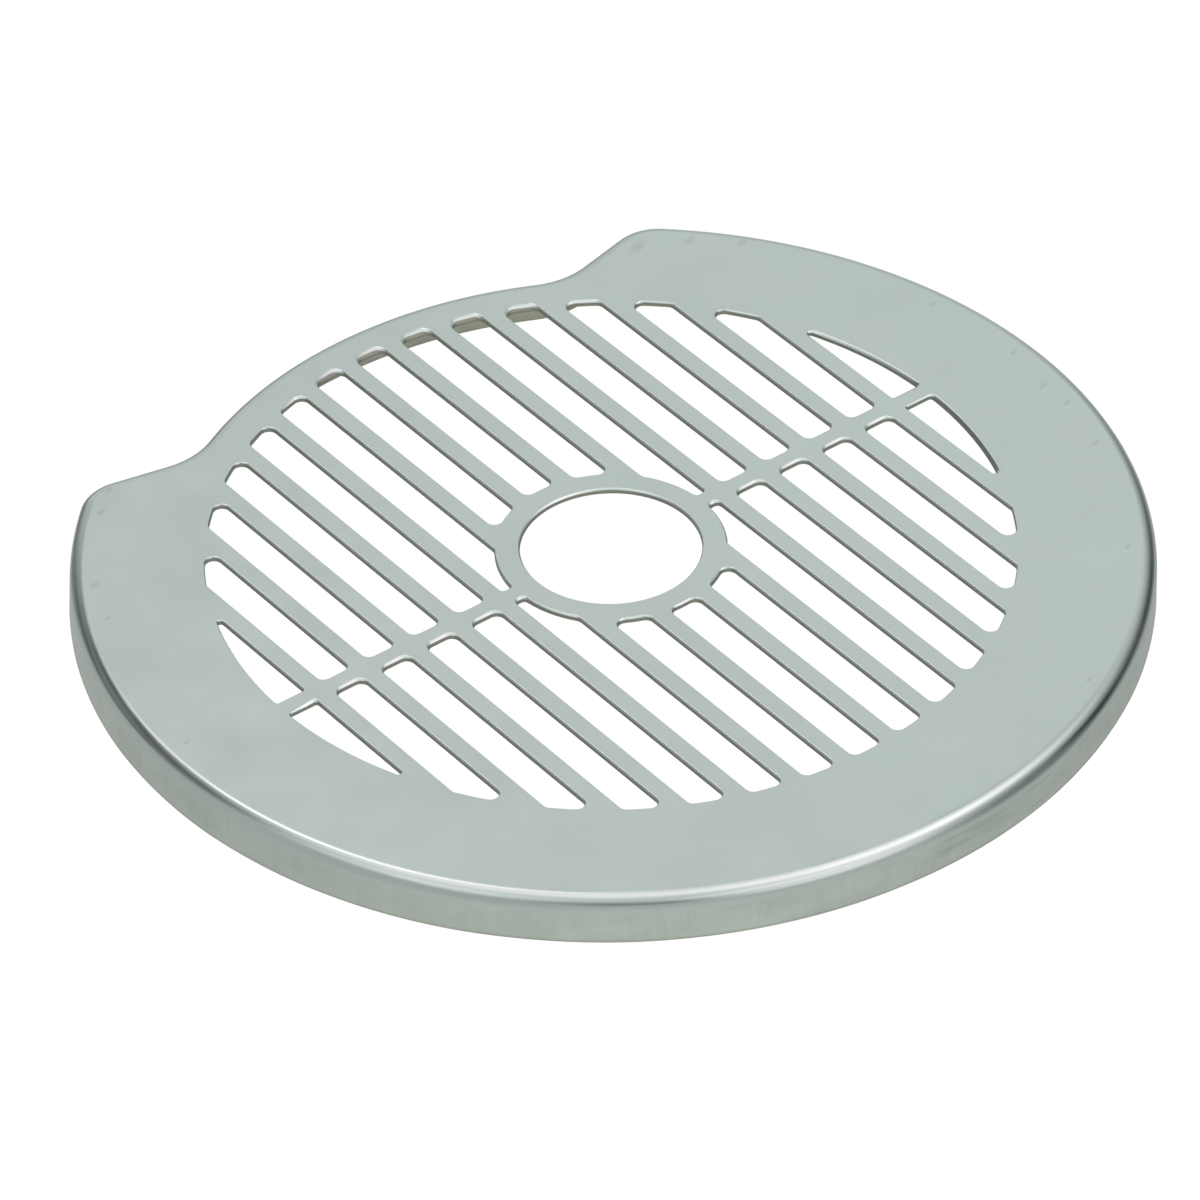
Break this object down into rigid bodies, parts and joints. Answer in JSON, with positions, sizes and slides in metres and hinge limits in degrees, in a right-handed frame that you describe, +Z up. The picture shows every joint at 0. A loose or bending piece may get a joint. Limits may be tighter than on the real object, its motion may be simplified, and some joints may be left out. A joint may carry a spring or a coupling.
{
  "type": "slotted drip grate",
  "caption": "Round slotted sheet-metal grate with a centre hole, a short down-turned skirt and a recess in its back edge.",
  "frame": {"origin": "on the axis of the centre hole, on the plane that the skirt's lower edge stands on", "axes": "+Z up, out of the plate's top face; +Y towards the recess in the back edge, along the slots; +X to the right, along the cross bar"},
  "size_m": [0.1374, 0.126, 0.0063],
  "materials": {
    "stainless_sheet": "satin, finely brushed"
  },
  "bodies": {
    "root": {"grate_plate": "stainless_sheet"}
  },
  "joints": []
}
